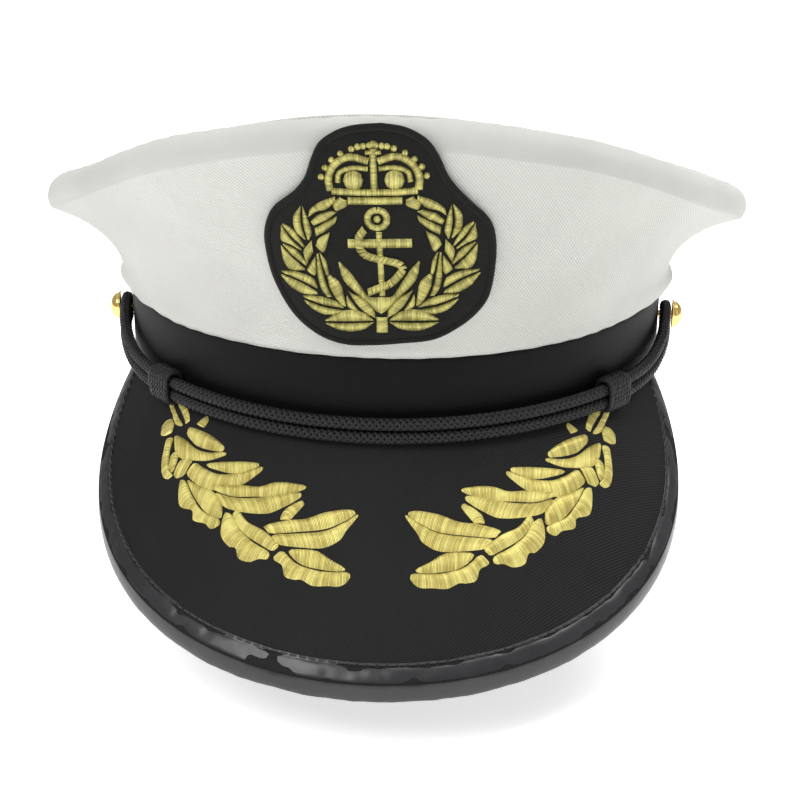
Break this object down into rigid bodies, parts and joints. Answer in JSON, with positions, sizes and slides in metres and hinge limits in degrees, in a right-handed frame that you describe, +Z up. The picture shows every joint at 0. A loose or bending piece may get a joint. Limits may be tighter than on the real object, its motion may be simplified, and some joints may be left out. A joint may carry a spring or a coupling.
{
  "type": "peaked cap",
  "caption": "Military peaked cap: white crown on a black band, embroidered badge and leaf sprays, sloping bound peak, braided chin cord on gilt side buttons.",
  "frame": {"origin": "centre of the head opening, in the plane of the band's lower edge", "axes": "+Z up as worn, -Y towards the front (the peak), +X towards the wearer's left"},
  "size_m": [0.226, 0.2725, 0.147],
  "materials": {
    "white_twill": "diagonal twill weave",
    "black_band": "satin twill weave",
    "black_twill": "fine twill weave",
    "lining_cloth": "plain weave lining",
    "interlining": "stiff canvas",
    "board": "moulded sheet",
    "sweat_leather": "smooth sweatband leather",
    "cane": "round stiffening rod",
    "steel": "drawn tube",
    "black_binding": "glossy grained edge binding",
    "gold_bullion": "metallic gold thread, satin stitched",
    "black_felt": "felt",
    "black_braid": "eight-strand braid",
    "gilt": "polished gilt"
  },
  "bodies": {
    "cap": {"badge_anchor": "gold_bullion", "badge_backing": "black_felt", "badge_border": "black_felt", "badge_coronet": "gold_bullion", "badge_patch": "black_felt", "badge_rope": "gold_bullion", "badge_wreath": "gold_bullion", "band_cover": "black_band", "band_stiffener": "board", "button_washer_left": "gilt", "button_washer_right": "gilt", "crown_back_panel": "white_twill", "crown_front_panel": "white_twill", "crown_hoop": "cane", "crown_hoop_ferrule": "steel", "crown_top_panel": "white_twill", "front_interlining": "interlining", "leaf_spray_left": "gold_bullion", "leaf_spray_right": "gold_bullion", "lining_back": "lining_cloth", "lining_front": "lining_cloth", "lining_top": "lining_cloth", "peak_binding": "black_binding", "peak_board": "board", "peak_cover": "black_twill", "peak_lining": "lining_cloth", "sweatband": "sweat_leather"},
    "chin_cord": {"chin_cord_left": "black_braid", "chin_cord_right": "black_braid"},
    "slide_knot_left": {"slide_knot_left": "black_braid"},
    "slide_knot_right": {"slide_knot_right": "black_braid"},
    "button_left": {"button_dome_left": "gilt", "button_back_left": "gilt"},
    "button_right": {"button_dome_right": "gilt", "button_back_right": "gilt"}
  },
  "joints": [
    {"name": "chin_cord_lift", "type": "hinge", "parent": "cap", "child": "chin_cord", "pos_m": [0, -0.0142, 0.012], "axis": [-1, 0, 0], "range_deg": [0, 9]},
    {"name": "slide_knot_left_slide", "type": "hinge", "parent": "chin_cord", "child": "slide_knot_left", "pos_m": [0.0112, -0.0088, 0.005], "axis": [0, 0, 1], "range_deg": [-3, 3]},
    {"name": "slide_knot_right_slide", "type": "hinge", "parent": "chin_cord", "child": "slide_knot_right", "pos_m": [-0.0112, -0.0088, 0.005], "axis": [0, 0, 1], "range_deg": [-3, 3]},
    {"name": "button_left_turn", "type": "hinge", "parent": "cap", "child": "button_left", "pos_m": [-0.08714, -0.0142, 0.012], "axis": [-0.9927, -0.1204, 0], "continuous": true},
    {"name": "button_right_turn", "type": "hinge", "parent": "cap", "child": "button_right", "pos_m": [0.08714, -0.0142, 0.012], "axis": [0.9927, -0.1204, 0], "continuous": true}
  ]
}
